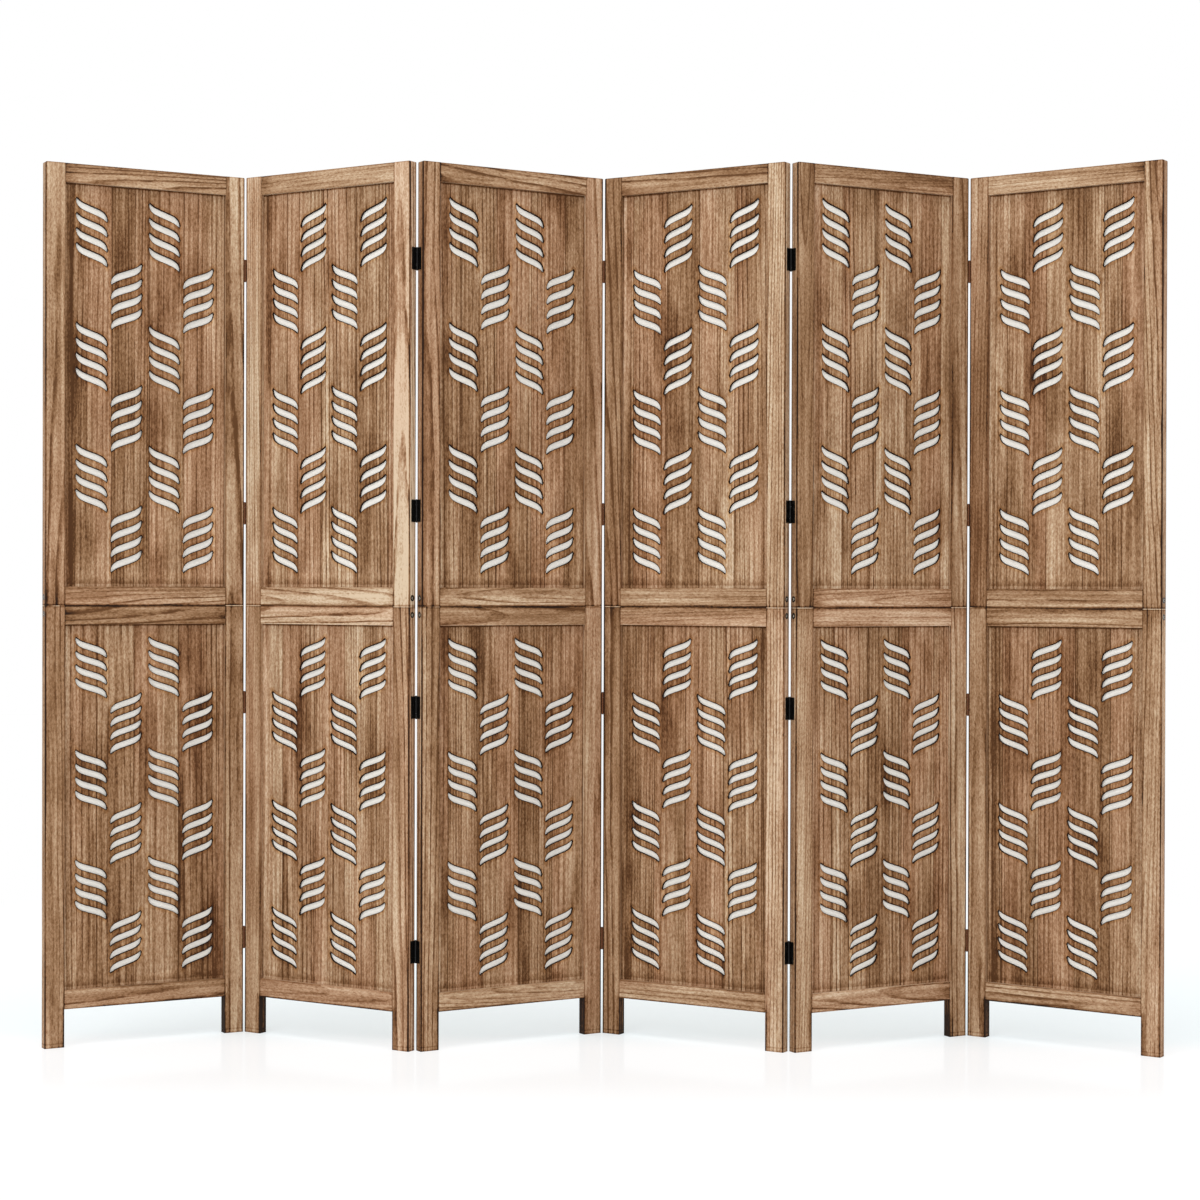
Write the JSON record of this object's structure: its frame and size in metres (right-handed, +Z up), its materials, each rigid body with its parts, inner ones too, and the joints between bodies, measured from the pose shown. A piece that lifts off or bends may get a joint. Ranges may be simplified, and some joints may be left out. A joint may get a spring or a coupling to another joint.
{
  "type": "folding screen",
  "caption": "Free-standing folding room screen of framed wooden leaves, each with boards cut through by rows of wave-shaped slits over a white cloth backing, on hinges that fold both ways.",
  "frame": {"origin": "on the floor, under the middle of the screen as it stands", "axes": "+Z up, +X along the screen from leaf 1 to leaf 6, -Y towards the front, where the carved boards show"},
  "size_m": [2.1454, 0.2354, 1.7],
  "materials": {
    "stile_wood": "brushed, scorched brown",
    "rail_wood": "brushed, scorched brown",
    "board_wood": "brushed, scorched brown",
    "cloth": "plain weave, off-white",
    "hinge_black": "black, satin",
    "pin_bronze": "dark bronze, satin",
    "steel": "zinc plated"
  },
  "bodies": {
    "leaf_1": {"leaf_1_upper_stiles": "stile_wood", "leaf_1_lower_stiles": "stile_wood", "leaf_1_upper_rails": "rail_wood", "leaf_1_lower_rails": "rail_wood", "leaf_1_upper_board": "board_wood", "leaf_1_lower_board": "board_wood", "leaf_1_cloths": "cloth", "leaf_1_hinge_plates": "hinge_black", "leaf_1_fasteners": "steel", "fold_1_pins": "pin_bronze"},
    "leaf_2": {"leaf_2_upper_stiles": "stile_wood", "leaf_2_lower_stiles": "stile_wood", "leaf_2_upper_rails": "rail_wood", "leaf_2_lower_rails": "rail_wood", "leaf_2_upper_board": "board_wood", "leaf_2_lower_board": "board_wood", "leaf_2_cloths": "cloth", "leaf_2_hinge_plates": "hinge_black", "leaf_2_fasteners": "steel", "fold_2_pins": "pin_bronze"},
    "leaf_3": {"leaf_3_upper_stiles": "stile_wood", "leaf_3_lower_stiles": "stile_wood", "leaf_3_upper_rails": "rail_wood", "leaf_3_lower_rails": "rail_wood", "leaf_3_upper_board": "board_wood", "leaf_3_lower_board": "board_wood", "leaf_3_cloths": "cloth", "leaf_3_hinge_plates": "hinge_black", "leaf_3_fasteners": "steel", "fold_3_pins": "pin_bronze"},
    "leaf_4": {"leaf_4_upper_stiles": "stile_wood", "leaf_4_lower_stiles": "stile_wood", "leaf_4_upper_rails": "rail_wood", "leaf_4_lower_rails": "rail_wood", "leaf_4_upper_board": "board_wood", "leaf_4_lower_board": "board_wood", "leaf_4_cloths": "cloth", "leaf_4_hinge_plates": "hinge_black", "leaf_4_fasteners": "steel", "fold_4_pins": "pin_bronze"},
    "leaf_5": {"leaf_5_upper_stiles": "stile_wood", "leaf_5_lower_stiles": "stile_wood", "leaf_5_upper_rails": "rail_wood", "leaf_5_lower_rails": "rail_wood", "leaf_5_upper_board": "board_wood", "leaf_5_lower_board": "board_wood", "leaf_5_cloths": "cloth", "leaf_5_hinge_plates": "hinge_black", "leaf_5_fasteners": "steel", "fold_5_pins": "pin_bronze"},
    "leaf_6": {"leaf_6_upper_stiles": "stile_wood", "leaf_6_lower_stiles": "stile_wood", "leaf_6_upper_rails": "rail_wood", "leaf_6_lower_rails": "rail_wood", "leaf_6_upper_board": "board_wood", "leaf_6_lower_board": "board_wood", "leaf_6_cloths": "cloth", "leaf_6_hinge_plates": "hinge_black", "leaf_6_fasteners": "steel"}
  },
  "joints": [
    {"name": "fold_1", "type": "hinge", "parent": "leaf_1", "child": "leaf_2", "pos_m": [-0.71389, 0.08427, 0.85], "axis": [0, 0, -1], "range_deg": [-60, 120]},
    {"name": "fold_2", "type": "hinge", "parent": "leaf_2", "child": "leaf_3", "pos_m": [-0.35315, -0.09751, 0.85], "axis": [0, 0, 1], "range_deg": [-62.5, 117.5]},
    {"name": "fold_3", "type": "hinge", "parent": "leaf_3", "child": "leaf_4", "pos_m": [-0.00068, 0.09983, 0.85], "axis": [0, 0, -1], "range_deg": [-62, 118]},
    {"name": "fold_4", "type": "hinge", "parent": "leaf_4", "child": "leaf_5", "pos_m": [0.36164, -0.07879, 0.85], "axis": [0, 0, 1], "range_deg": [-59, 121]},
    {"name": "fold_5", "type": "hinge", "parent": "leaf_5", "child": "leaf_6", "pos_m": [0.72396, 0.09983, 0.85], "axis": [0, 0, -1], "range_deg": [-62.5, 117.5]}
  ]
}
